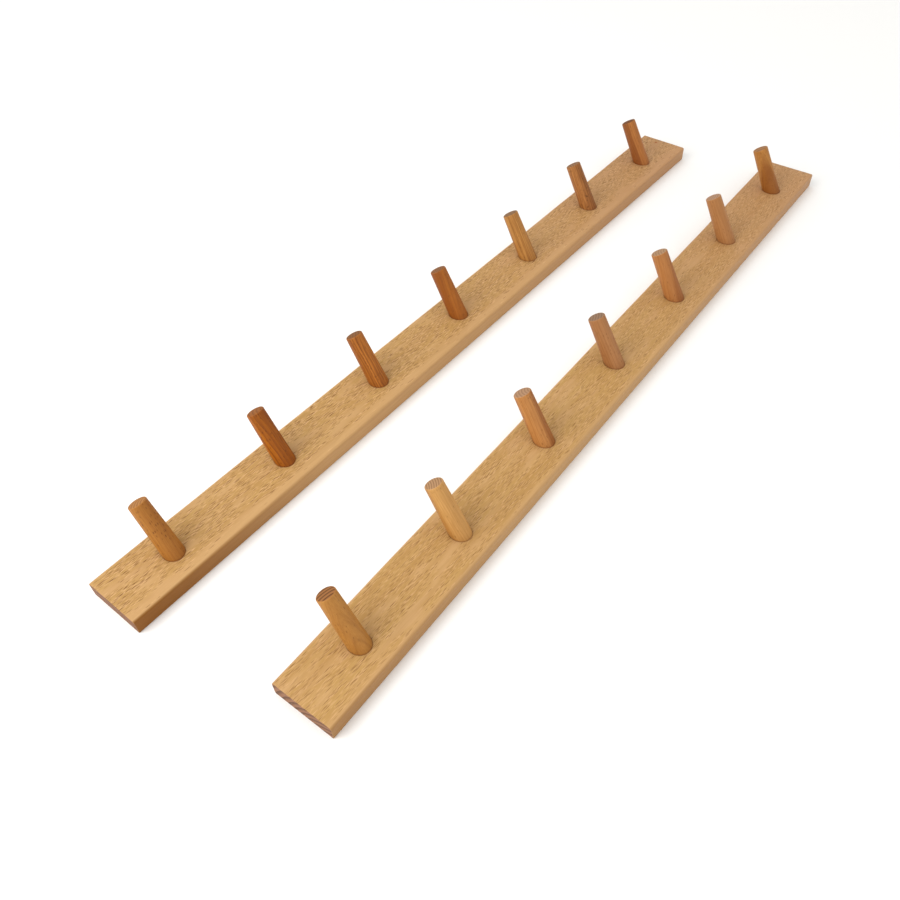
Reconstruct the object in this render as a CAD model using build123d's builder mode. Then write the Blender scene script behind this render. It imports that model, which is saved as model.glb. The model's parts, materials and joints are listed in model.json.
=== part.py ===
from build123d import *
import math
import os

# A pair of wooden peg rails: two equal boards, each with a row of round pegs that all lean
# towards the board's rear edge. Lengths are in millimetres and angles in degrees.
# Each rail has its own plane: x runs along the board, y across it towards the rear edge and
# z out of the face that carries the pegs. The rear rail's plane is the origin of the whole.

# The boards
rail_width = 65.0
rail_thickness = 18.0
edge_round = 2.5          # radius along the four long edges
end_ease = 0.5            # bevel around the sawn ends

# The rows of pegs
peg_count = 7
peg_pitch = 139.0
end_margin = 68.0         # from a rail's end to the axis of its outermost peg
peg_line_offset = -1.5    # of the row from the board's centre line, towards the front edge
peg_lean = 29.0           # from the face's normal towards the rear edge

# The pegs
peg_root_diameter = 20.5
peg_tip_diameter = 18.4
peg_reach = 58.0          # along the axis, from the board's face to the tip
peg_tip_round = 1.2
peg_lead_bevel = 1.0      # on the hidden end, so that it starts in its bore

# The glued joints
wood_under_bore = 2.5     # between the bore's lowest point and the board's back
glue_clearance = 0.05     # between the peg's side and the bore's wall
glue_pocket = 0.4         # under the peg's hidden end

# How the two rails lie: the front one is loose, shifted along and turned a little
rail_spacing = 187.0      # between the two centres, across the rails
front_rail_shift = 35.0
front_rail_turn = 1.34

rail_length = 2 * end_margin + (peg_count - 1) * peg_pitch
peg_root_radius = peg_root_diameter / 2
peg_tip_radius = peg_tip_diameter / 2
bore_radius = peg_root_radius + glue_clearance
lean = math.radians(peg_lean)
# The leaning bore's mouth is an ellipse. This is how far along the axis it reaches past the
# point where the axis meets the face, so the peg stays straight up to here and tapers above.
mouth_rise = bore_radius * math.tan(lean)
# The bore's flat bottom leans too, so its lower side is what comes nearest to the back.
bore_depth = (rail_thickness - wood_under_bore - bore_radius * math.sin(lean)) / math.cos(lean)

rear_plane = Plane.XY
front_place = Location((front_rail_shift, -rail_spacing, 0), (0, 0, front_rail_turn))
front_plane = Plane(front_place)


def peg_plane(rail_plane, number):
    """The plane at a peg's root: on the board's face, with its z along the peg's axis."""
    along = -rail_length / 2 + end_margin + (number - 1) * peg_pitch
    root = Location((along, peg_line_offset, rail_thickness), (-peg_lean, 0, 0))
    return Plane(rail_plane.location * root)


def make_rail(rail_plane):
    """A board with rounded long edges, eased ends and one leaning blind bore for each peg."""
    with BuildPart() as rail:
        with BuildSketch(rail_plane):
            Rectangle(rail_length, rail_width)
        extrude(amount=rail_thickness)
        fillet(rail.edges().filter_by(Axis((0, 0, 0), rail_plane.x_dir)), edge_round)
        end_faces = rail.faces().filter_by(Axis((0, 0, 0), rail_plane.x_dir))
        chamfer(end_faces.edges(), end_ease)
        for number in range(1, peg_count + 1):
            with BuildSketch(peg_plane(rail_plane, number).offset(-bore_depth)):
                Circle(bore_radius)
            extrude(amount=bore_depth + 2 * mouth_rise, mode=Mode.SUBTRACT)
    return rail.part


def make_peg(root_plane):
    """A turned peg: straight where it is in the board, tapered above, round at the tip."""
    axis = Axis(root_plane.origin, root_plane.z_dir)
    section_plane = Plane(root_plane.origin, x_dir=root_plane.x_dir, z_dir=-root_plane.y_dir)
    hidden_end = glue_pocket - bore_depth
    with BuildPart() as peg:
        with BuildSketch(section_plane):
            with BuildLine():
                Polyline(
                    (0, hidden_end),
                    (peg_root_radius, hidden_end),
                    (peg_root_radius, mouth_rise),
                    (peg_tip_radius, peg_reach),
                    (0, peg_reach),
                    close=True,
                )
            make_face()
        revolve(axis=axis)
        rims = peg.edges().filter_by(GeomType.CIRCLE).sort_by(axis)
        fillet(rims[-1], peg_tip_round)
        chamfer(rims[0], peg_lead_bevel)
    return peg.part


def write(part, name):
    """Label one finished piece and write it to its own STEP file."""
    part.label = name
    export_step(part, f"parts/{name}.step")


os.makedirs("parts", exist_ok=True)
for row, plane in (("rear", rear_plane), ("front", front_plane)):
    write(make_rail(plane), f"{row}_rail")
    for number in range(1, peg_count + 1):
        write(make_peg(peg_plane(plane, number)), f"{row}_peg_{number}")
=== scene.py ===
"""A pair of beech peg rails: the visible boards and pegs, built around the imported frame.

Each board and each peg is a closed surface worked out with numpy in its own plain frame, carried to its
place by the frame's record, and finished with a procedural beech. Lengths are in metres unless a name
ends in _mm.
"""

import json
import math

import bmesh
import bpy
import numpy as np
from bpy.props import CollectionProperty, FloatProperty, FloatVectorProperty, PointerProperty
from mathutils import Color, Matrix, Vector


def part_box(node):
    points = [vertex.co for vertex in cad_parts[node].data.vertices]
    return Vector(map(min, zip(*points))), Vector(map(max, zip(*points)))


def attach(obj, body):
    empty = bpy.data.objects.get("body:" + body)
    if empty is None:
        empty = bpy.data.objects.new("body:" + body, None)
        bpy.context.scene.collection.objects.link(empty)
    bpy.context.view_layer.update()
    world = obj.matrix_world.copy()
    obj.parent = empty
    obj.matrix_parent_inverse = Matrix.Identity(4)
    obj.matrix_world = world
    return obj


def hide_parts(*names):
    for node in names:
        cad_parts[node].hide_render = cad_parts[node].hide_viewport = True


bl_info = {
    "name": "Beech peg rails",
    "version": (1, 0, 0),
    "blender": (4, 5, 0),
    "location": "3D View > Sidebar > Peg rails",
    "description": "Builds a pair of beech rails with leaning turned pegs",
    "category": "Add Mesh",
}

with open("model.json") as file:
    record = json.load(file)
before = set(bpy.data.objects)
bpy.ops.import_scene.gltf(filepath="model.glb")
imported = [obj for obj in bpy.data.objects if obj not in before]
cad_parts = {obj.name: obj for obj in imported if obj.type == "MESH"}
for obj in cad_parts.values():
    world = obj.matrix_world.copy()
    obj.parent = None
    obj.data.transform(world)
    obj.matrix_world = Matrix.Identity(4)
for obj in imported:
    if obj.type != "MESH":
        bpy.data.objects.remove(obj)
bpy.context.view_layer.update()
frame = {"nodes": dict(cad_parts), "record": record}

MM = 0.001
ROWS = ("rear", "front")
MOUNTS = {mount["name"]: mount for mount in frame["record"]["mounts"]}


# ---------------------------------------------------------------------------------------------
# Sizes read from the frame
# ---------------------------------------------------------------------------------------------

def nodes_of(row):
    """The names of one row's peg nodes, in order along the rail."""
    return sorted(name for name in frame["nodes"] if name.startswith(f"{row}_peg_"))


def box_size(node):
    """A node's extent along X, Y and Z."""
    low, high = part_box(node)
    return [high[axis] - low[axis] for axis in range(3)]


RAIL_LENGTH, RAIL_WIDTH, RAIL_THICKNESS = box_size("rear_rail")
PEG_AXIS = Vector(MOUNTS["rear_pegs"]["axis"]).normalized()
LEAN = math.acos(PEG_AXIS.z)
MIDDLE_TIP = Vector(MOUNTS["rear_pegs"]["pos_m"])
PEG_REACH = (MIDDLE_TIP.z - RAIL_THICKNESS) / math.cos(LEAN)
PEG_LINE = MIDDLE_TIP.y - PEG_REACH * math.sin(LEAN)
PEG_STATIONS = [(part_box(name)[0][0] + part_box(name)[1][0]) / 2 for name in nodes_of("rear")]


def read_peg_profile():
    """How far the middle peg reaches below its root, and its radius at the root and near its tip."""
    node = frame["nodes"]["rear_peg_4"]
    points = np.empty(len(node.data.vertices) * 3)
    node.data.vertices.foreach_get("co", points)
    points = points.reshape(-1, 3) - np.array((MIDDLE_TIP - PEG_AXIS * PEG_REACH)[:])
    along = points @ np.array(PEG_AXIS[:])
    radial = np.linalg.norm(points - along[:, None] * np.array(PEG_AXIS[:]), axis=1)
    near_tip = along > PEG_REACH - 3 * MM
    return along.min(), radial.max(), radial[near_tip].max()


PEG_FOOT, ROOT_RADIUS, TIP_RADIUS = read_peg_profile()


def row_matrix(row):
    """Carries a point from a rail's own frame, centred on its back, to the object's frame."""
    axis = MOUNTS[f"{row}_pegs"]["axis"]
    turn = Matrix.Rotation(math.atan2(-axis[0], axis[1]), 4, "Z")
    return Matrix.Translation(MOUNTS[f"{row}_back"]["pos_m"]) @ turn


def carried(matrix, points):
    """The same points after a 4 by 4 matrix, as one array."""
    turn = np.array(matrix.to_3x3())
    return points @ turn.T + np.array(matrix.translation[:])


# ---------------------------------------------------------------------------------------------
# Settings that a user would change
# ---------------------------------------------------------------------------------------------

def length(name, default_mm, description, least_mm=0.0):
    """A length setting, given in millimetres."""
    return FloatProperty(name=name, description=description, default=default_mm * MM, min=least_mm * MM,
                         precision=5, unit="LENGTH", subtype="DISTANCE")


def shade(name, red, green, blue, description):
    """A colour setting, given in display values from 0 to 255 and stored as shares of 255."""
    return FloatVectorProperty(name=name, description=description, size=3, min=0.0, max=1.0,
                               default=(red / 255, green / 255, blue / 255), subtype="COLOR_GAMMA")


def share(name, default, description):
    """A setting from 0 to 1."""
    return FloatProperty(name=name, description=description, default=default, min=0.0, max=1.0,
                         subtype="FACTOR")


def angle(name, degrees, description):
    """An angle setting, given in degrees."""
    return FloatProperty(name=name, description=description, default=math.radians(degrees),
                         subtype="ANGLE")


class BoardSettings(bpy.types.PropertyGroup):
    edge_round: length("Edge round", 2.5, "Radius along the four long edges")
    edge_wander: length("Edge wander", 0.9, "How far that radius varies along a hand-eased edge")
    back_round: length("Back edge round", 1.4, "Radius along the two long edges of the back")
    end_ease: length("End ease", 0.5, "Rounding around the sawn ends")
    mouth_ease: length("Mouth ease", 0.12, "Broken corner around each peg's bore")
    glue_gap: length("Glue gap", 0.05, "Between a bore's wall and its peg")
    planing: length("Planing", 0.06, "Depth of the low waves that the plane left")
    tone: shade("Tone", 186, 146, 86, "The oiled face's own colour")
    deep: shade("Deep tone", 168, 124, 68, "The darker bands of figure")
    pale: shade("Pale tone", 206, 164, 117, "The lightest wood, along the front of the face")
    rosy: shade("Rosy tone", 175, 124, 90, "The far half, which is a little deeper and pinker")
    fleck: shade("Fleck", 106, 64, 8, "The short ray flecks")
    # Painted shade: the long sides get this darker, deeper colour in place of the shade that falls on them.
    side: shade("Side", 136, 82, 6, "The narrow long sides, which took up more oil")
    sawn: shade("Sawn end", 148, 106, 80, "The end grain")
    knot: shade("Pin knot", 150, 66, 22, "A twig's small round knot")
    plain_band: length("Plain band", 11.0, "Width of the front of the face, where the flecks are few")


class PegSettings(bpy.types.PropertyGroup):
    tip_round: length("Tip round", 1.2, "Rounding around a peg's end")
    dome: length("Dome", 0.35, "How far the end's middle stands above its rim")
    shaving: length("Shaving", 0.16, "Depth of the unevenness that hand turning left")
    lead_bevel: length("Lead bevel", 1.0, "Bevel on the hidden end")


class PegFinish(bpy.types.PropertyGroup):
    tone: shade("Tone", 175, 114, 58, "The peg's own colour")
    deep: shade("Deep tone", 140, 80, 34, "Its darker streaks")
    end_tone: shade("End tone", 178, 138, 102, "Its end grain")
    streaks: share("Streaks", 0.3, "How strongly the growth rings show as streaks")
    heart: share("Heartwood", 0.0, "How much deeper the side towards the tree's heart is")
    heart_line: length("Heartwood line", -1.0, "From the peg's axis to the heartwood's edge", least_mm=-20.0)
    end_rings: share("End rings", 0.4, "How strongly the growth rings show on the end")
    specks: share("Specks", 0.3, "How many short dark specks show")
    spin: angle("Spin", 0.0, "Which way the growth rings face")
    pith: length("Pith distance", 20.0, "From the peg's axis to the heart of the tree it was cut from")
    ring: length("Ring width", 3.0, "From one growth ring to the next")
    slope: FloatProperty(name="Slope", description="Across the peg's axis for each unit along it",
                         default=0.03, min=-1.0, max=1.0)
    sway: length("Sway", 2.0, "How far the grain wanders")


class StageSettings(bpy.types.PropertyGroup):
    floor: shade("Floor", 249, 249, 248, "The plain floor")
    azimuth: angle("Camera azimuth", 49.2, "From +Y towards +X")
    elevation: angle("Camera elevation", 48.4, "How far the camera looks down")
    roll: angle("Camera roll", -2.92, "Turn about the camera's own axis")
    distance: length("Camera distance", 844.3, "From the aim to the camera")
    aim: FloatVectorProperty(name="Camera aim", description="The point in the view's middle", size=3,
                             default=(-0.1583, -0.1148, 0.0), subtype="TRANSLATION")
    lens: FloatProperty(name="Lens", description="Focal length in millimetres on a 36 mm sensor",
                        default=33.13, min=10.0)
    key_power: FloatProperty(name="Key light", description="Watts of the soft light over the near end",
                             default=20.0, min=0.0)
    room: FloatProperty(name="Room light", description="Strength of the even light from all round",
                        default=0.95, min=0.0)


# ---------------------------------------------------------------------------------------------
# Meshes: patches of grid, sewn into one closed skin
# ---------------------------------------------------------------------------------------------

class Patchwork:
    """Rectangular grids of points that are sewn along the edges they share.

    Every point carries its finish, each 0 to 1: how much it is sawn end; its dark glue line and the painted
    shade round a peg's foot; and its share of long side, times the painted shade there.
    """

    def __init__(self):
        self.points, self.finish, self.faces = [], [], []
        self.count = 0

    def add(self, points, end=0.0, joint=0.0, side=0.0, closed=False):
        """Adds an (m, n, 3) grid. A closed grid also joins its last column to its first."""
        rows, columns = points.shape[:2]
        finish = np.empty((rows, columns, 3))
        for channel, value in enumerate((end, joint, side)):
            finish[..., channel] = value
        index = np.arange(rows * columns).reshape(rows, columns) + self.count
        if closed:
            index = np.concatenate([index, index[:, :1]], axis=1)
        corners = (index[:-1, :-1], index[1:, :-1], index[1:, 1:], index[:-1, 1:])
        self.faces.append(np.stack(corners, axis=-1).reshape(-1, 4))
        self.points.append(points.reshape(-1, 3))
        self.finish.append(finish.reshape(-1, 3))
        self.count += rows * columns

    def sew(self, name, grain, matrix, shape=None):
        """Makes the object. grain maps the points to the wood's own coordinates, along the fibre first,
        and shape, if given, is a last smooth movement of all points."""
        points = np.concatenate(self.points)
        layers = {"grain": grain(points), "finish": np.concatenate(self.finish)}
        if shape is not None:
            points = shape(points)
        mesh = bpy.data.meshes.new(name)
        mesh.from_pydata(carried(matrix, points), [], np.concatenate(self.faces))
        for layer, values in layers.items():
            attribute = mesh.attributes.new(layer, "FLOAT_VECTOR", "POINT")
            attribute.data.foreach_set("vector", values.astype(np.float32).ravel())
        sewing = bmesh.new()
        sewing.from_mesh(mesh)
        bmesh.ops.remove_doubles(sewing, verts=sewing.verts, dist=2e-6)
        bmesh.ops.recalc_face_normals(sewing, faces=sewing.faces)
        sewing.to_mesh(mesh)
        sewing.free()
        mesh.polygons.foreach_set("use_smooth", np.ones(len(mesh.polygons), dtype=bool))
        mesh.set_sharp_from_angle(angle=math.radians(50))
        piece = bpy.data.objects.new(name, mesh)
        bpy.context.scene.collection.objects.link(piece)
        return piece


def ramp(values, low, high):
    """0 below low, 1 above high and a smooth S between them."""
    part = np.clip((values - low) / (high - low), 0.0, 1.0)
    return part * part * (3 - 2 * part)


def ripple(random, values, wavelengths):
    """A smooth uneven line from 0 to 1: sines of the given wavelengths with random phases."""
    turn = 2 * math.pi
    total = sum(np.sin(values * (turn / each) + random.uniform(0, turn)) for each in wavelengths)
    return 0.5 + 0.5 * total / len(wavelengths)


# ---------------------------------------------------------------------------------------------
# The boards
# ---------------------------------------------------------------------------------------------

BLOCK_HALF = 20 * MM      # half the length of the patch of face that surrounds a bore
BLOCK_STEPS, FACE_STEPS, ARC_STEPS = 24, 32, 6
FACE_STEP = 2.5 * MM
LEAST_RADIUS = 0.1 * MM   # a corner never gets sharper than this
GLUE_POCKET = 0.4 * MM    # between a peg's foot and the bottom of its bore
FAR_STRETCH = (0.25, 0.47)  # where along the rail the upper edges get sharper


def rail_stations(end_ease):
    """Distances along the rail: even steps, with each bore's block cut into its own even steps."""
    limit = RAIL_LENGTH / 2 - end_ease
    stops = [-limit]
    for centre in PEG_STATIONS:
        stops += [centre - BLOCK_HALF, centre + BLOCK_HALF]
    stops.append(limit)
    stations = [np.array([-limit])]
    for index, (start, stop) in enumerate(zip(stops[:-1], stops[1:])):
        inside_block = index % 2 == 1
        steps = BLOCK_STEPS if inside_block else int(round((stop - start) / FACE_STEP))
        stations.append(np.linspace(start, stop, steps + 1)[1:])
    return np.concatenate(stations)


def rail_skirt(radius, back_radius, inset):
    """The rail's outline from the face's rear edge round the back to its front edge, as (y, z) pairs.

    A rounded rectangle: four quarter circles joined by straight sides. radius holds the upper corners'
    radius at each station, back_radius is the lower corners' radius, and inset draws the whole outline
    inwards, as at an eased end. Returns an (outline points, stations, 2) array and each outline point's
    share of side, 0 on the face and 1 on the long sides.
    """
    half, thick = RAIL_WIDTH / 2 - inset, RAIL_THICKNESS
    upper = np.maximum(radius - inset, LEAST_RADIUS)
    lower = np.maximum(np.full_like(radius, back_radius) - inset, LEAST_RADIUS)
    turn = np.linspace(0, math.pi / 2, ARC_STEPS + 1)[:, None]
    blend = np.linspace(0, 1, 5)[1:-1, None]
    top, low = thick - inset, inset
    rear_top = np.stack([half - upper + upper * np.sin(turn), top - upper + upper * np.cos(turn)], -1)
    rear_low = np.stack([half - lower + lower * np.cos(turn), low + lower - lower * np.sin(turn)], -1)
    rear_flat = rear_top[-1] * (1 - blend[..., None]) + rear_low[0] * blend[..., None]
    rear = np.concatenate([rear_top, rear_flat, rear_low])
    front = rear[::-1] * np.array([-1.0, 1.0])
    across = np.linspace(0, 1, 13)[1:-1, None, None]
    outline = np.concatenate([rear, rear[-1] * (1 - across) + front[0] * across, front])
    corner = np.sin(turn[:, 0])
    rear_side = np.concatenate([corner, np.ones(len(blend)), corner[::-1]])
    return outline, np.concatenate([rear_side, np.zeros(len(across)), rear_side[::-1]])


def at_station(x, outline):
    """Points of an outline at the distance x along the rail."""
    points = np.empty(outline.shape[:-1] + (3,))
    points[..., 0] = x
    points[..., 1:] = outline
    return points


def bore_rings(centre, around, radius, depths):
    """Rings on a leaning bore's wall.

    A ring's point is the root, plus the radius turned by the angle about the leaning axis, plus a way
    along the axis. depths gives each ring's height below the face; None gives the flat bottom.
    """
    lean_cos, lean_sin = math.cos(LEAN), math.sin(LEAN)
    circle = np.stack([radius * np.cos(around), radius * np.sin(around) * lean_cos,
                       -radius * np.sin(around) * lean_sin], -1)
    root = np.array([centre, PEG_LINE, RAIL_THICKNESS])
    axis = np.array([0.0, lean_sin, lean_cos])
    rings = []
    for depth in depths:
        along = np.full(len(around), PEG_FOOT - GLUE_POCKET)
        if depth is not None:
            along = (-depth - circle[:, 2]) / lean_cos
        rings.append(root + circle + along[:, None] * axis)
    return np.array(rings)


def add_bore(work, centre, edge, settings):
    """The face around one bore, its eased mouth and its blind wall.

    The face's patch runs in rings from the mouth, an ellipse, out to the block's rectangle: each point
    lies on the straight line between the two, closer together near the mouth.
    """
    left, right = centre - BLOCK_HALF, centre + BLOCK_HALF
    along = np.linspace(left, right, BLOCK_STEPS + 1)
    limit = edge(along)
    up = np.linspace(-1, 1, FACE_STEPS + 1)
    loop = np.concatenate([
        np.stack([along[:-1], -limit[:-1]], -1),
        np.stack([np.full(FACE_STEPS, right), up[:-1] * limit[-1]], -1),
        np.stack([along[:0:-1], limit[:0:-1]], -1),
        np.stack([np.full(FACE_STEPS, left), up[:0:-1] * limit[0]], -1),
    ])
    around = np.arctan2((loop[:, 1] - PEG_LINE) * math.cos(LEAN), loop[:, 0] - centre)
    radius = ROOT_RADIUS + settings.glue_gap
    mouth = bore_rings(centre, around, radius, [0.0])[0]
    lip = mouth[:, :2] + (mouth[:, :2] - [centre, PEG_LINE]) * (settings.mouth_ease / radius)
    parts = np.linspace(0, 1, 15) ** 1.6
    flat = lip + (loop - lip) * parts[:, None, None]
    face = np.concatenate([flat, np.full(flat.shape[:2] + (1,), RAIL_THICKNESS)], -1)
    distance = np.linalg.norm(flat - lip, axis=-1)
    # A dark glue line within a millimetre of the mouth, plus painted shade that fades out over 8 mm round
    # the peg's foot.
    glue_line_and_shade = 0.35 * (1 - ramp(distance, 0.0, 1.0 * MM)) + 0.12 * (1 - ramp(distance, 0.0, 8 * MM))
    work.add(face, joint=glue_line_and_shade, closed=True)
    ease = settings.mouth_ease
    eased = np.concatenate([face[:1], bore_rings(centre, around, radius, [0.5 * ease, ease])])
    eased[1, :, :2] += 0.25 * (face[0, :, :2] - eased[2, :, :2])
    work.add(eased, joint=0.6, closed=True)
    wall = bore_rings(centre, around, radius, [ease, 3 * MM, None])
    work.add(wall, joint=1.0, closed=True)
    pole = wall[-1].mean(axis=0)
    floor = wall[-1] + (pole - wall[-1]) * np.linspace(0, 1, 4)[:, None, None]
    work.add(floor, end=1.0, closed=True)


def add_rail_face(work, stations, edge):
    """The plain stretches of face between the bores' blocks: a grid from front edge to rear edge."""
    across = np.linspace(-1, 1, FACE_STEPS + 1)[:, None]
    gaps = [-RAIL_LENGTH / 2]
    for centre in PEG_STATIONS:
        gaps += [centre - BLOCK_HALF, centre + BLOCK_HALF]
    gaps.append(RAIL_LENGTH / 2)
    for start, stop in zip(gaps[::2], gaps[1::2]):
        x = stations[(stations > start - 1e-7) & (stations < stop + 1e-7)]
        face = np.empty((FACE_STEPS + 1, len(x), 3))
        face[..., 0], face[..., 1], face[..., 2] = x, across * edge(x), RAIL_THICKNESS
        work.add(face)


def add_rail_end(work, x, sign, radius, settings, oiled):
    """One sawn end: a quarter round of the outline, then rings that shrink evenly to its middle."""
    rings, ease = [], settings.end_ease
    for step in np.linspace(0, math.pi / 2, 4):
        inset = ease * (1 - math.cos(step))
        outline, side = rail_skirt(np.array([radius]), settings.back_round, inset)
        half = RAIL_WIDTH / 2 - inset - max(radius - inset, LEAST_RADIUS)
        face = np.stack([np.linspace(-half, half, FACE_STEPS + 1)[1:-1],
                         np.full(FACE_STEPS - 1, RAIL_THICKNESS - inset)], -1)
        loop = np.concatenate([outline[:, 0], face])
        rings.append(at_station(x + sign * ease * math.sin(step), loop))
    rings = np.array(rings)
    # The long sides' painted shade carries round the eased end, scaled by oiled.
    side = np.concatenate([side, np.zeros(FACE_STEPS - 1)]) * oiled
    end = np.array([0.0, 0.25, 0.7, 1.0])[:, None]
    work.add(rings, end=end, side=side * (1 - end), closed=True)
    rim = rings[-1]
    middle = np.array([x + sign * ease, 0.0, RAIL_THICKNESS / 2])
    cap = rim + (middle - rim) * np.linspace(0, 1, 7)[:, None, None]
    work.add(cap, end=1.0, closed=True)


def make_board(row, settings, seed, look):
    """One board: face, bores, skirt and ends sewn together, with low planing waves.

    The upper edges' radius is the set one plus a slow ripple along the board, and falls by a third
    towards the far end. The waves lower a point by the product of a ripple along the board and one
    across it, times the fourth power of its height as a share of the thickness.
    """
    random = np.random.default_rng(seed)
    knots = np.linspace(-RAIL_LENGTH / 2, RAIL_LENGTH / 2, 400)
    drawn = ripple(np.random.default_rng(seed + 50), knots, (0.41, 0.17, 0.073))

    def radius(x):
        rippled = settings.edge_round + settings.edge_wander * np.interp(x, knots, drawn)
        return rippled * (1 - ramp(x, *FAR_STRETCH) / 3)

    def edge(x):
        return RAIL_WIDTH / 2 - radius(x)

    stations = rail_stations(settings.end_ease)
    work = Patchwork()
    add_rail_face(work, stations, edge)
    for centre in PEG_STATIONS:
        add_bore(work, centre, edge, settings)
    outline, side = rail_skirt(radius(stations), settings.back_round, 0.0)
    # Painted shade on the long sides: the look's oiled values set how dark it is, darkest at the near end.
    oiled = np.interp(stations, np.array([-0.5, -0.25, 0.5]) * RAIL_LENGTH, look.oiled)
    work.add(at_station(stations, outline), side=side[:, None] * oiled)
    for sign, index in ((-1, 0), (1, -1)):
        x = stations[index]
        add_rail_end(work, x, sign, float(radius(x)), settings, look.oiled[index])

    def grain(points):
        return points + np.array(look.heart)

    def planed(points):
        along = ripple(random, points[:, 0], (0.23, 0.094, 0.041))
        across = ripple(random, points[:, 1], (0.052, 0.021))
        moved = points.copy()
        moved[:, 2] -= settings.planing * along * across * (points[:, 2] / RAIL_THICKNESS) ** 4
        return moved

    return work.sew(f"{row}_rail_board", grain, row_matrix(row), planed)


# ---------------------------------------------------------------------------------------------
# The pegs
# ---------------------------------------------------------------------------------------------

PEG_SIDES = 96            # points around a peg
BURIED_RINGS, TAPER_RINGS, RIM_RINGS, DOME_RINGS = 14, 51, 6, 11


def peg_side(settings, random, around, along, mouth):
    """The radius of a peg's side, with one row for each way along it and one column for each angle.

    It falls in a straight line from the bore's mouth to the tip, less a shallow unevenness: the sum of
    slow ripples around and along the peg, which starts just above the mouth.
    """
    fall = np.clip((along - mouth) / (PEG_REACH - mouth), 0, 1)
    radius = ROOT_RADIUS + (TIP_RADIUS - ROOT_RADIUS) * fall
    lobes = 0.0
    for count, twist, weight in ((1, 3.0, 0.3), (2, 1.2, 0.35), (3, -1.5, 0.2), (5, 2.2, 0.15)):
        turned = count * around[None, :] + twist * along[:, None] / PEG_REACH
        lobes = lobes + weight * np.sin(turned + random.uniform(0, 6.3))
    start = ramp(along, mouth + 0.5 * MM, mouth + 9 * MM)[:, None]
    return radius[:, None] - settings.shaving * start * (0.5 + 0.5 * lobes)


def peg_rings(settings, random, around):
    """A peg's rings from the middle of its hidden foot to the middle of its end.

    The rim is a quarter round, and the end a low dome that falls with the fourth power of the radius.
    Returns the radii, each ring's way along the axis and its share of sawn end.
    """
    mouth = ROOT_RADIUS * math.tan(LEAN)
    rim = settings.tip_round * random.uniform(0.75, 1.25)
    dome = settings.dome * random.uniform(0.5, 1.5)
    shoulder = PEG_REACH - dome - rim

    below = np.concatenate([[PEG_FOOT + settings.lead_bevel], np.linspace(-6 * MM, mouth, BURIED_RINGS)])
    above = np.linspace(mouth, shoulder, TAPER_RINGS + 1)[1:]
    along = np.concatenate([below, above])
    side = peg_side(settings, random, around, along, mouth)

    turn = np.linspace(0, math.pi / 2, RIM_RINGS + 1)[1:]
    rim_radius = side[-1][None, :] - rim * (1 - np.cos(turn))[:, None]
    shrink = np.linspace(1, 0, DOME_RINGS + 1)[1:]
    dome_radius = rim_radius[-1][None, :] * shrink[:, None]
    foot = np.array([[0.0], [0.5], [1.0]]) * (ROOT_RADIUS - settings.lead_bevel)
    foot_radius = np.repeat(foot, len(around), 1)

    radii = np.concatenate([foot_radius, side, rim_radius, dome_radius])
    ways = np.concatenate([np.full(len(foot), PEG_FOOT), along, shoulder + rim * np.sin(turn),
                           shoulder + rim + dome * (1 - shrink ** 4)])
    end = np.concatenate([np.ones(len(foot)), np.zeros(len(along)), [0, 0, 0.15, 0.5, 0.85, 1],
                          np.ones(len(shrink))])
    return radii, ways, end


def make_peg(node, row, centre, settings, finish, seed):
    """One turned peg, straight in its bore and tapered above it: a surface of revolution.

    A point is the peg's root, plus its ring's radius turned by the angle about the leaning axis, plus its
    ring's way along that axis.
    """
    around = np.linspace(0, 2 * math.pi, PEG_SIDES + 1)[:-1]
    radii, ways, end = peg_rings(settings, np.random.default_rng(seed), around)
    lean_cos, lean_sin = math.cos(LEAN), math.sin(LEAN)
    out = np.stack([np.cos(around), np.sin(around) * lean_cos, -np.sin(around) * lean_sin], -1)
    axis = np.array([0.0, lean_sin, lean_cos])
    root = np.array([centre, PEG_LINE, RAIL_THICKNESS])
    points = root + radii[..., None] * out + ways[:, None, None] * axis
    height = points[..., 2] - RAIL_THICKNESS
    # A dark glue line in the first 1.2 mm above the face, plus painted shade that fades out over 8 mm up the
    # peg's foot.
    joint = 0.55 * (1 - ramp(height, 0.2 * MM, 1.2 * MM)) + 0.15 * (1 - ramp(height, 0.0, 8 * MM))
    work = Patchwork()
    work.add(points, end=end[:, None], joint=joint * (1 - end[:, None]), closed=True)

    def grain(cloud):
        """Along the peg, and out from the tree's heart, which lies to one side of the peg's axis."""
        local = cloud - root
        way = local @ axis
        cross = np.stack([local[:, 0], local[:, 1] * lean_cos - local[:, 2] * lean_sin], -1)
        spin_cos, spin_sin = math.cos(finish.spin), math.sin(finish.spin)
        cross = cross @ np.array([[spin_cos, spin_sin], [-spin_sin, spin_cos]])
        outwards = cross[:, 0] + finish.pith + finish.slope * way
        return np.stack([way + 0.3 * seed, outwards, cross[:, 1]], -1)

    return work.sew(f"{node}_turned", grain, row_matrix(row))


# ---------------------------------------------------------------------------------------------
# Shaders
# ---------------------------------------------------------------------------------------------

class Signal:
    """A node's output socket, so that shader maths reads as an expression."""

    def __init__(self, sheet, socket):
        self.sheet, self.socket = sheet, socket

    def math(self, operation, first, second=None):
        sockets = {0: first} if second is None else {0: first, 1: second}
        return self.sheet.node("ShaderNodeMath", {"operation": operation}, sockets)

    def __add__(self, other):
        return self.math("ADD", self, other)

    def __sub__(self, other):
        return self.math("SUBTRACT", self, other)

    def __rsub__(self, other):
        return self.math("SUBTRACT", other, self)

    def __mul__(self, other):
        return self.math("MULTIPLY", self, other)

    __radd__, __rmul__ = __add__, __mul__


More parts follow.
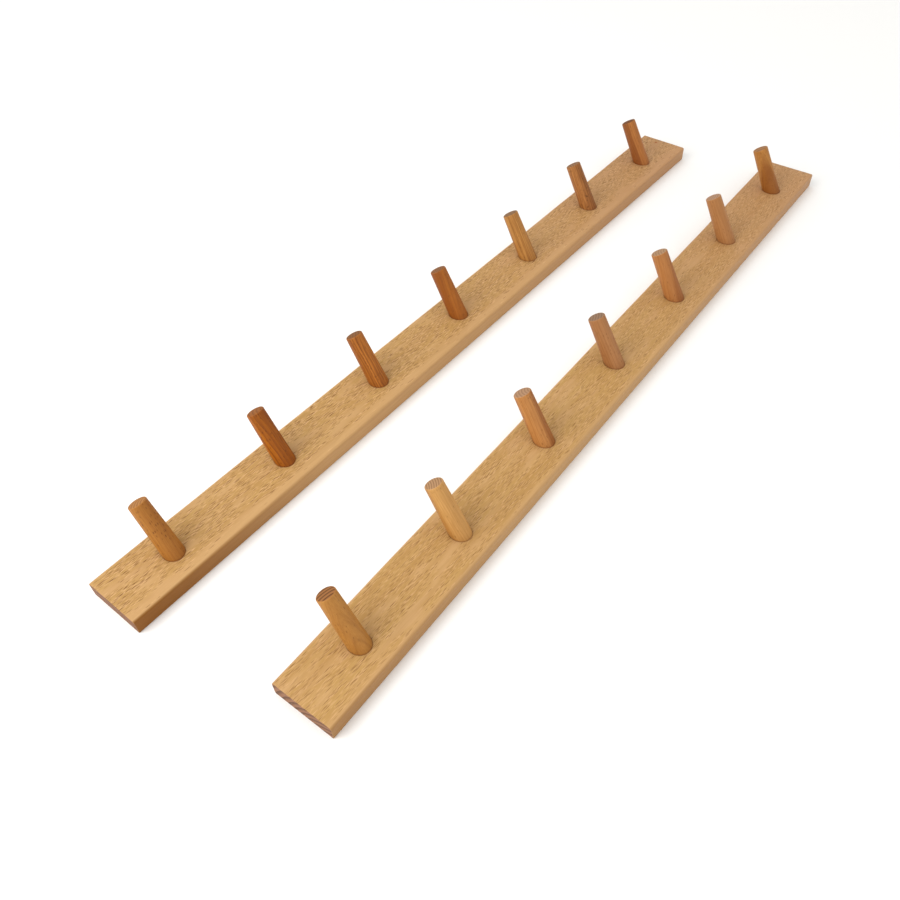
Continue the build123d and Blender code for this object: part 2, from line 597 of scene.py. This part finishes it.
class Sheet:
    """One material's node tree, with the wood patterns drawn on it."""

    def __init__(self, name):
        self.material = bpy.data.materials.new(name)
        self.material.use_nodes = True
        self.tree = self.material.node_tree
        self.tree.nodes.clear()

    def node(self, kind, settings=None, sockets=None, output=0):
        """Adds a node: its settings first, then the values or links of its sockets."""
        made = self.tree.nodes.new(kind)
        for name, value in (settings or {}).items():
            setattr(made, name, value)
        for key, value in (sockets or {}).items():
            if isinstance(value, Signal):
                self.tree.links.new(value.socket, made.inputs[key])
            else:
                made.inputs[key].default_value = value
        return Signal(self, made.outputs[output]) if made.outputs else None

    def attribute(self, name):
        """One of the mesh's own layers, as a vector."""
        return self.node("ShaderNodeAttribute", {"attribute_name": name}, output="Vector")

    def parts(self, vector):
        """A vector's three numbers."""
        split = self.node("ShaderNodeSeparateXYZ", sockets={0: vector}).socket.node
        return [Signal(self, socket) for socket in split.outputs]

    def vector_math(self, operation, first, second):
        """Two vectors added, subtracted or multiplied part by part."""
        return self.node("ShaderNodeVectorMath", {"operation": operation}, {0: first, 1: second})

    def reach(self, vector):
        """A vector's length."""
        return self.node("ShaderNodeVectorMath", {"operation": "LENGTH"}, {0: vector}, "Value")

    def stretched(self, grain, along_mm, across_mm, through_mm):
        """Grain coordinates in which one unit of a pattern covers these millimetres."""
        sizes = (along_mm, across_mm, through_mm)
        return self.vector_math("MULTIPLY", grain, tuple(1 / (size * MM) for size in sizes))

    def noise(self, grain, sizes_mm, detail=2.0, rough=0.5, output="Fac"):
        """Noise whose patches measure these millimetres along, across and through the wood."""
        return self.node("ShaderNodeTexNoise", {"noise_dimensions": "3D"}, {
            "Vector": self.stretched(grain, *sizes_mm), "Scale": 1.0, "Detail": detail, "Roughness": rough,
        }, output)

    def step(self, value, low, high, to_low=0.0, to_high=1.0):
        """A smooth step of the value from low to high."""
        return self.node("ShaderNodeMapRange", {"interpolation_type": "SMOOTHSTEP"}, {
            "Value": value, "From Min": low, "From Max": high, "To Min": to_low, "To Max": to_high,
        })

    def mix(self, factor, first, second):
        """Colours or colour sockets, mixed by a factor."""
        settings = {"data_type": "RGBA", "blend_type": "MIX", "clamp_factor": True}
        return self.node("ShaderNodeMix", settings, {0: factor, 6: first, 7: second}, output=2)

    def finish(self, base, roughness, bump, bump_mm):
        """The one shader of the material, with its bump, and the material itself."""
        depth = {"Strength": 1.0, "Distance": bump_mm * MM, "Height": bump}
        normal = self.node("ShaderNodeBump", None, depth)
        surface = self.node("ShaderNodeBsdfPrincipled", None, {
            "Base Color": base, "Roughness": roughness, "Normal": normal, "Specular IOR Level": 0.25,
        })
        self.node("ShaderNodeOutputMaterial", None, {"Surface": surface})
        return self.material


def linear(display, gain=1.0):
    """A stored display colour as a shader colour with alpha."""
    colour = Color(display[:]).from_srgb_to_scene_linear()
    return (colour.r * gain, colour.g * gain, colour.b * gain, 1.0)


def flecks(sheet, grain, sizes_mm, keep, inner, outer, dimensions="3D"):
    """Short spindles along the fibre: stretched cells, of which a share is kept, cut by distance.

    Returns two masks: the spindle, 1 in its middle and weaker in some cells than in others, and the rim
    around it. In "2D" the cells lie in the board's face and run straight through it.
    """
    cell = {"Vector": sheet.stretched(grain, *sizes_mm), "Scale": 1.0, "Randomness": 1.0}
    settings = {"voronoi_dimensions": dimensions, "feature": "F1", "distance": "EUCLIDEAN"}
    distance = sheet.node("ShaderNodeTexVoronoi", settings, cell, "Distance")
    chance, strength, _ = sheet.parts(Signal(sheet, distance.socket.node.outputs["Color"]))
    kept = sheet.step(chance + keep, 1.0, 1.04)
    depth = kept * (strength * 0.6 + 0.4)
    inside = sheet.step(distance, outer, inner)
    return inside * depth, (sheet.step(distance, outer * 1.6, outer) - inside) * depth


def growth_rings(sheet, grain, ring, wander, early):
    """Late wood lines: the fraction of the distance from the heart, in rings, where it nears one.

    The heart lies along the fibre at the grain coordinates' origin, and the rings wander a little.
    early is the part of a ring that stays pale.
    """
    out = sheet.vector_math("MULTIPLY", grain, (0.0, 1.0, 1.0))
    distance = sheet.reach(out)
    drift = sheet.noise(grain, (90, 30, 30), 2.0) * wander
    phase = distance * (1 / ring) + drift
    part = phase.math("FRACT", phase)
    return sheet.step(part, early, 0.92) * sheet.step(part, 1.0, 0.92)


def swayed(sheet, grain, wavelengths_mm, sway_mm):
    """The grain coordinates moved across the fibre by slow noise, by at most about half of sway_mm."""
    sway = sheet.noise(grain, wavelengths_mm, 2.0, output="Color")
    centred = sheet.vector_math("SUBTRACT", sway, (0.5, 0.5, 0.5))
    across = sheet.vector_math("MULTIPLY", centred, tuple(each * MM for each in sway_mm))
    return sheet.vector_math("ADD", grain, across)


def slanted(sheet, grain, slant):
    """The grain coordinates pushed along the fibre by slant times the distance across it."""
    push = sheet.node("ShaderNodeCombineXYZ", {}, {"X": sheet.parts(grain)[1] * slant}, "Vector")
    return sheet.vector_math("ADD", grain, push)


def pin_knot(sheet, grain, look, wood, settings):
    """Mixes in a twig's round knot by the distance from its place: a dark middle and a faint ring."""
    centre = tuple(look.heart[axis] + look.knot[axis] for axis in range(3))
    away = sheet.vector_math("SUBTRACT", grain, centre)
    distance = sheet.reach(away)
    wood = sheet.mix(sheet.step(distance, 4.2 * MM, 1.4 * MM) * 0.4, wood, linear(settings.deep))
    return sheet.mix(sheet.step(distance, 2.2 * MM, 1.1 * MM) * 0.85, wood, linear(settings.knot))


def ray_flecks(sheet, grain, crowd, face):
    """The beech's flecks in a board's face: long, short and pale ones, and a painted highlight round the
    dark ones.

    Slow noise and a slant keep their cells out of rows. crowd says where they lie close, and face where
    the board's face is.
    """
    torn = swayed(sheet, grain, (6.0, 2.0, 6.0), (2.0, 0.5, 0.5))
    torn = slanted(sheet, swayed(sheet, torn, (140, 14.0, 140), (26.0, 0.0, 0.0)), 4.3)
    many, some, few = crowd * 0.5 + face * 0.02, crowd * 0.42 + face * 0.02, crowd * 0.36 + face * 0.03
    long_flecks, long_highlight_rims = flecks(sheet, torn, (16.0, 1.35, 9.0), many, 0.10, 0.38, "2D")
    short_flecks, short_highlight_rims = flecks(sheet, torn, (9.0, 1.1, 6.0), some, 0.10, 0.42, "2D")
    pale_flecks, _ = flecks(sheet, torn, (12.0, 1.3, 7.0), few, 0.12, 0.40, "2D")
    return long_flecks, short_flecks, pale_flecks, long_highlight_rims + short_highlight_rims


def sawn_wood(sheet, grain, straight, ring, wander, early, strength, colours, pores_mm, pore_strength):
    """An end's colour: growth rings and pores over it. colours are the wood, its rings and its pores."""
    plain, dark, deepest = colours
    rings = growth_rings(sheet, grain, ring, wander, early)
    pores, _ = flecks(sheet, straight, pores_mm, 0.5, 0.20, 0.5)
    return sheet.mix(pores * pore_strength, sheet.mix(rings * strength, plain, dark), deepest)


def board_beech(name, settings, look):
    """Oiled beech for a board: figure, fibre, ray flecks with painted highlights round the dark ones, pores,
    paler wood where flecks are few, painted shade on the long sides, and darker ends.
    """
    sheet = Sheet(name)
    straight = sheet.attribute("grain")
    end, joint, side = sheet.parts(sheet.attribute("finish"))
    grain = swayed(sheet, straight, (70, 22, 22), (0.0, 3.0, 3.0))
    across = sheet.parts(straight)[1] - look.heart[1]
    along = sheet.parts(straight)[0] - look.heart[0]
    front = -0.5 * RAIL_WIDTH + settings.plain_band * look.plain
    middle = sheet.step(across + sheet.noise(straight, (60, 60, 60)) * 8 * MM, front, front + 9 * MM)
    face = sheet.step(side, 0.12, 0.0)

    bands = sheet.step(sheet.noise(grain, (260, 11, 11), 3.0, 0.55), 0.32, 0.72)
    rings = growth_rings(sheet, grain, 5.2 * MM, 1.6, 0.35)
    fibre = sheet.noise(grain, (30, 0.6, 0.6), 3.0, 0.6)
    crowd = sheet.step(sheet.noise(straight, (46, 13, 40), 2.0), 0.26, 0.54) * (middle * 0.9 + 0.1) * face
    long_flecks, short_flecks, pale_flecks, highlight_rims = ray_flecks(sheet, grain, crowd, face)

    wood = sheet.mix(bands * 0.5, linear(settings.tone), linear(settings.deep))
    # Paler where the flecks are few, as along the front of the face and on the rounded edges.
    wood = sheet.mix((1 - crowd) * 0.55, wood, linear(settings.pale))
    wood = sheet.mix(sheet.step(along, -0.1, 0.5) * 0.5, wood, linear(settings.rosy))
    wood = sheet.mix(rings * 0.14, wood, linear(settings.deep, 0.85))
    wood = sheet.mix(sheet.step(fibre, 0.3, 0.75) * 0.22, wood, linear(settings.deep, 0.9))
    wood = sheet.mix(pale_flecks * (0.75 * look.flecked), wood, linear(settings.pale, 1.18))
    # Painted highlight: a paler ring round each dark fleck stands in for light catching its edge.
    wood = sheet.mix(highlight_rims * (0.5 * look.flecked), wood, linear(settings.pale, 1.15))
    wood = sheet.mix(short_flecks * look.flecked, wood, linear(settings.fleck))
    wood = sheet.mix(long_flecks * look.flecked, wood, linear(settings.fleck))
    # Painted shade on the long sides, streaked by the fibre.
    side_shade_colour = sheet.mix(sheet.step(fibre, 0.3, 0.7) * 0.5, linear(settings.side), linear(settings.side, 0.7))
    wood = sheet.mix(sheet.step(side, 0.1, 1.0), wood, side_shade_colour)
    if look.knot:
        wood = pin_knot(sheet, straight, look, wood, settings)

    ends = (linear(settings.sawn), linear(settings.sawn, 0.3), linear(settings.sawn, 0.4))
    sawn = sawn_wood(sheet, grain, straight, 6.0 * MM, 0.6, 0.2, 0.8, ends, (30, 0.55, 0.55), 0.4)
    wood = sheet.mix(end, wood, sawn)
    # Dark glue at each bore, and painted shade round each peg's foot.
    wood = sheet.mix(joint * 0.8, wood, linear((0.42, 0.23, 0.09)))

    roughness = fibre * 0.14 + 0.46 + long_flecks * 0.2 + end * 0.3
    relief = fibre * 0.25 - long_flecks * 0.9 - short_flecks * 0.5 + pale_flecks * 0.5 + rings * 0.12
    return sheet.finish(wood, roughness, relief, 0.10)


def peg_beech(name, finish):
    """Oiled beech for one peg: its tone, streaked by growth rings and fibre, a pale end and a painted
    highlight on its rim.
    """
    sheet = Sheet(name)
    straight = sheet.attribute("grain")
    end, joint, _ = sheet.parts(sheet.attribute("finish"))
    sway_mm = finish.sway / MM
    grain = swayed(sheet, straight, (34, 9, 9), (0.0, sway_mm, sway_mm))

    rings = growth_rings(sheet, grain, finish.ring, 1.0, 0.45)
    broken = sheet.step(sheet.noise(grain, (16, 2.6, 2.6), 2.0), 0.36, 0.58, 0.12, 1.0)
    lines = growth_rings(sheet, grain, finish.ring * 0.85, 1.3, 0.62) * broken
    shadow = sheet.step(sheet.noise(grain, (60, 6, 6), 3.0, 0.55), 0.35, 0.70)
    off_axis = sheet.parts(grain)[1] - (finish.pith + finish.heart_line)
    heartwood_and_shade = sheet.step(off_axis, 2.0 * MM, -2.0 * MM)
    fibre = sheet.noise(grain, (18, 0.55, 0.55), 3.0, 0.6)
    dashes, _ = flecks(sheet, grain, (4.6, 1.5, 1.5), 0.10 + 0.30 * finish.specks, 0.18, 0.42)

    wood = sheet.mix(shadow * (0.2 + 0.5 * finish.streaks), linear(finish.tone), linear(finish.deep))
    # Deeper towards the heart: heartwood on most pegs, and on rear_peg_3 painted shade over its lit left
    # side.
    wood = sheet.mix(heartwood_and_shade * finish.heart, wood, linear(finish.deep))
    wood = sheet.mix(rings * (0.12 + 0.55 * finish.streaks), wood, linear(finish.deep, 0.85))
    wood = sheet.mix(lines * (0.08 + 0.9 * finish.streaks), wood, linear(finish.deep, 0.55))
    wood = sheet.mix(sheet.step(fibre, 0.32, 0.72) * 0.30, wood, linear(finish.deep))
    wood = sheet.mix(dashes * (0.3 + 0.6 * finish.specks), wood, linear(finish.deep, 0.5))

    ends = (linear(finish.end_tone), linear(finish.deep, 0.3), linear(finish.deep))
    sawn = sawn_wood(sheet, straight, straight, finish.ring, 0.4, 0.3, finish.end_rings, ends,
                     (25, 0.5, 0.5), 0.3)
    wood = sheet.mix(end, wood, sawn)
    # Painted highlight: a paler band on the rounded rim between the side and the end.
    rim_highlight = sheet.step(end, 0.02, 0.4) * sheet.step(end, 0.95, 0.5)
    wood = sheet.mix(rim_highlight * 0.4, wood, linear(finish.end_tone, 1.25))
    # Dark glue line at the foot, and painted shade fading up it.
    wood = sheet.mix(joint * 0.75, wood, linear((0.36, 0.17, 0.06)))

    roughness = fibre * 0.14 + 0.44 + end * 0.25
    relief = fibre * 0.3 - dashes * 0.6 + rings * 0.2
    return sheet.finish(wood, roughness, relief, 0.09)


# ---------------------------------------------------------------------------------------------
# The wood of each board and peg
# ---------------------------------------------------------------------------------------------

class BoardLook:
    """Where the tree's heart lay from a board's middle, the painted shade on its sides, how dark its flecks
    are, and its knot.

    oiled gives the painted shade on the sides, from 0 to 1, at the near end, a quarter of the way along
    and at the far end. flecked is how strongly the flecks are stained, and plain how wide the band without
    them is, as a share of the setting. knot is the pin knot's place in the board's own frame, if it has one.
    """

    def __init__(self, heart, oiled, flecked, plain, knot=None):
        self.heart, self.oiled, self.knot = heart, oiled, knot
        self.flecked, self.plain = flecked, plain


# In each look, oiled is the painted shade on the long sides at the near end, a quarter along and the far
# end.
BOARD_LOOKS = {
    "rear": BoardLook((0.7, 6 * MM, 70 * MM), (1.0, 0.32, 0.3), 0.95, 1.0, (476 * MM, 8 * MM, 18 * MM)),
    "front": BoardLook((1.4, 62 * MM, 48 * MM), (0.6, 0.35, 0.3), 0.68, 0.3),
}


def peg_look(tone, deep, end_tone, **others):
    """One peg's finish: its colours in display values, angles in degrees and lengths in millimetres."""
    look = {"tone": tone, "deep": deep, "end_tone": end_tone}
    return {**{name: [value / 255 for value in colour] for name, colour in look.items()}, **others}


PEG_LOOKS = {
    "rear_peg_1": peg_look((174, 116, 46), (136, 74, 22), (168, 114, 58),
        streaks=0.15, heart=0.2, specks=1.0, spin=227, pith=26, end_rings=0.5),
    "rear_peg_2": peg_look((171, 98, 14), (116, 52, 0), (144, 86, 34),
        streaks=0.5, heart=0.3, specks=0.6, spin=222, pith=16, ring=4.2, slope=-0.05, sway=5),
    # On rear_peg_3 the heartwood setting darkens the lit left side: painted shade.
    "rear_peg_3": peg_look((186, 114, 40), (120, 60, 10), (128, 82, 40),
        streaks=0.7, heart=0.3, specks=0.6, spin=34, pith=34, ring=3.2, slope=0.01, sway=3.5,
        heart_line=-3),
    "rear_peg_4": peg_look((164, 96, 28), (124, 62, 12), (134, 86, 46),
        streaks=0.1, heart=0.5, spin=55, pith=30, slope=-0.09),
    "rear_peg_5": peg_look((191, 136, 68), (134, 78, 26), (136, 100, 66),
        streaks=0.5, heart=0.1, spin=12, pith=40, ring=5.0, slope=0.0, sway=2.5),
    "rear_peg_6": peg_look((186, 124, 64), (112, 60, 18), (142, 102, 68),
        streaks=0.6, heart=0.3, specks=1.0, spin=230, pith=24, ring=3.4, slope=0.02, sway=4),
    "rear_peg_7": peg_look((184, 119, 58), (122, 62, 16), (114, 64, 18),
        streaks=0.2, heart=0.65, spin=48, pith=14),
    "front_peg_1": peg_look((185, 130, 60), (136, 80, 28), (152, 100, 54),
        streaks=0.1, heart=0.12, end_rings=0.95, spin=290, pith=30, ring=4.2, slope=0.14),
    "front_peg_2": peg_look((204, 154, 90), (156, 102, 37), (174, 134, 96),
        streaks=0.08, heart=0.5, end_rings=0.6, spin=38, pith=36, ring=2.3, heart_line=-5),
    "front_peg_3": peg_look((192, 133, 73), (138, 76, 22), (170, 132, 100),
        streaks=0.12, heart=0.7, specks=0.5, spin=222, pith=18, heart_line=-4.5),
    "front_peg_4": peg_look((171, 119, 73), (138, 84, 38), (142, 112, 88),
        streaks=0.12, heart=0.15, spin=60, pith=30),
    "front_peg_5": peg_look((184, 124, 68), (138, 78, 30), (170, 134, 100),
        streaks=0.12, heart=0.6, spin=240, pith=22, slope=0.1, heart_line=-3),
    "front_peg_6": peg_look((174, 121, 71), (142, 88, 42), (172, 134, 104),
        streaks=0.06, spin=80, pith=30),
    "front_peg_7": peg_look((181, 124, 58), (128, 68, 12), (160, 113, 70),
        streaks=0.15, heart=0.65, spin=326, pith=14, ring=8.0, slope=0.2, sway=1.5),
}


def fill_peg_finishes(finishes):
    """Puts each peg's starting look into the scene's settings."""
    units = {"spin": math.radians(1), "pith": MM, "ring": MM, "sway": MM, "heart_line": MM}
    for name, look in PEG_LOOKS.items():
        finish = finishes.add()
        finish.name = name
        for setting, value in look.items():
            setattr(finish, setting, value * units[setting] if setting in units else value)


# ---------------------------------------------------------------------------------------------
# Operators, panel and registration
# ---------------------------------------------------------------------------------------------

class PEGRAILS_OT_boards(bpy.types.Operator):
    """Make both boards in place of the plain rails"""

    bl_idname = "pegrails.boards"
    bl_label = "Make boards"

    def execute(self, context):
        settings = context.scene.peg_rail_boards
        for seed, row in enumerate(ROWS, start=1):
            board = make_board(row, settings, seed, BOARD_LOOKS[row])
            board.data.materials.append(board_beech(f"{row}_board_beech", settings, BOARD_LOOKS[row]))
            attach(board, f"{row}_set")
            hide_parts(f"{row}_rail")
        return {"FINISHED"}


class PEGRAILS_OT_pegs(bpy.types.Operator):
    """Make every turned peg in place of the plain ones"""

    bl_idname = "pegrails.pegs"
    bl_label = "Make pegs"

    def execute(self, context):
        if not context.scene.peg_finishes:
            fill_peg_finishes(context.scene.peg_finishes)
        seed = 10
        for row in ROWS:
            for node, centre in zip(nodes_of(row), PEG_STATIONS):
                seed += 1
                finish = context.scene.peg_finishes[node]
                peg = make_peg(node, row, centre, context.scene.peg_rail_pegs, finish, seed)
                peg.data.materials.append(peg_beech(f"{node}_beech", finish))
                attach(peg, f"{row}_set")
                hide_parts(node)
        return {"FINISHED"}


FLOOR_HALF = 30.0         # metres from the frame's origin to the floor's edge


def add_floor(tone):
    """The plain floor, a square in the plane z = 0, and its matt material."""
    corners = [(x * FLOOR_HALF, y * FLOOR_HALF, 0.0) for x, y in ((-1, -1), (1, -1), (1, 1), (-1, 1))]
    mesh = bpy.data.meshes.new("floor")
    mesh.from_pydata(corners, [], [(0, 1, 2, 3)])
    floor = bpy.data.objects.new("floor", mesh)
    bpy.context.scene.collection.objects.link(floor)
    sheet = Sheet("pale_floor")
    surface = sheet.node("ShaderNodeBsdfPrincipled", None, {"Base Color": linear(tone), "Roughness": 0.9})
    sheet.node("ShaderNodeOutputMaterial", None, {"Surface": surface})
    mesh.materials.append(sheet.material)
    return floor


def add_light(name, power, size, location, target):
    """A square area light that faces its target."""
    light = bpy.data.lights.new(name, "AREA")
    light.energy, light.size = power, size
    lamp = bpy.data.objects.new(name, light)
    lamp.location = location
    lamp.rotation_euler = (Vector(target) - Vector(location)).to_track_quat("-Z", "Y").to_euler()
    bpy.context.scene.collection.objects.link(lamp)


def room_light(strength):
    """A world that lights evenly from all round, a little warm."""
    world = bpy.data.worlds.new("room")
    world.use_nodes = True
    background = world.node_tree.nodes["Background"]
    background.inputs["Color"].default_value = (1.0, 0.99, 0.97, 1.0)
    background.inputs["Strength"].default_value = strength
    return world


def add_camera(settings):
    """The camera: out from its aim along the azimuth and elevation, then rolled about its own axis."""
    level = math.cos(settings.elevation)
    forward = Vector((math.sin(settings.azimuth) * level, math.cos(settings.azimuth) * level,
                      -math.sin(settings.elevation)))
    right = forward.cross(Vector((0, 0, 1))).normalized()
    upright = Matrix((right, right.cross(forward), -forward)).transposed()
    rolled = upright @ Matrix.Rotation(settings.roll, 3, "Z")
    camera = bpy.data.objects.new("camera", bpy.data.cameras.new("camera"))
    place = Vector(settings.aim) - forward * settings.distance
    camera.matrix_world = Matrix.Translation(place) @ rolled.to_4x4()
    camera.data.lens = settings.lens
    camera.data.sensor_width = 36.0
    camera.data.clip_start = 0.01
    bpy.context.scene.collection.objects.link(camera)
    bpy.context.scene.camera = camera


class PEGRAILS_OT_stage(bpy.types.Operator):
    """Set the pale floor, the soft lights and the camera"""

    bl_idname = "pegrails.stage"
    bl_label = "Set stage"

    def execute(self, context):
        settings = context.scene.peg_rail_stage
        add_floor(settings.floor)
        add_light("key_light", settings.key_power, 1.2, (-1.42, 0.43, 1.34), (-0.1, -0.1, 0.0))
        context.scene.world = room_light(settings.room)
        context.scene.view_settings.view_transform = "Standard"
        add_camera(settings)
        return {"FINISHED"}


class PEGRAILS_PT_panel(bpy.types.Panel):
    """Lists what the add-on makes"""

    bl_label = "Peg rails"
    bl_idname = "PEGRAILS_PT_panel"
    bl_space_type = "VIEW_3D"
    bl_region_type = "UI"
    bl_category = "Peg rails"

    def draw(self, context):
        layout = self.layout
        for operator, group in (("boards", "peg_rail_boards"), ("pegs", "peg_rail_pegs"),
                                ("stage", "peg_rail_stage")):
            box = layout.box()
            box.operator(f"pegrails.{operator}")
            settings = getattr(context.scene, group)
            for name in settings.__annotations__:
                box.prop(settings, name)


CLASSES = (BoardSettings, PegSettings, PegFinish, StageSettings, PEGRAILS_OT_boards, PEGRAILS_OT_pegs,
           PEGRAILS_OT_stage, PEGRAILS_PT_panel)


def register():
    for each in CLASSES:
        bpy.utils.register_class(each)
    bpy.types.Scene.peg_rail_boards = PointerProperty(type=BoardSettings)
    bpy.types.Scene.peg_rail_pegs = PointerProperty(type=PegSettings)
    bpy.types.Scene.peg_rail_stage = PointerProperty(type=StageSettings)
    bpy.types.Scene.peg_finishes = CollectionProperty(type=PegFinish)


def unregister():
    for name in ("peg_rail_boards", "peg_rail_pegs", "peg_rail_stage", "peg_finishes"):
        delattr(bpy.types.Scene, name)
    for each in reversed(CLASSES):
        bpy.utils.unregister_class(each)


def main():
    """Registers the add-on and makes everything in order."""
    register()
    bpy.ops.pegrails.stage()
    bpy.ops.pegrails.boards()
    bpy.ops.pegrails.pegs()


if __name__ == "__main__":
    main()
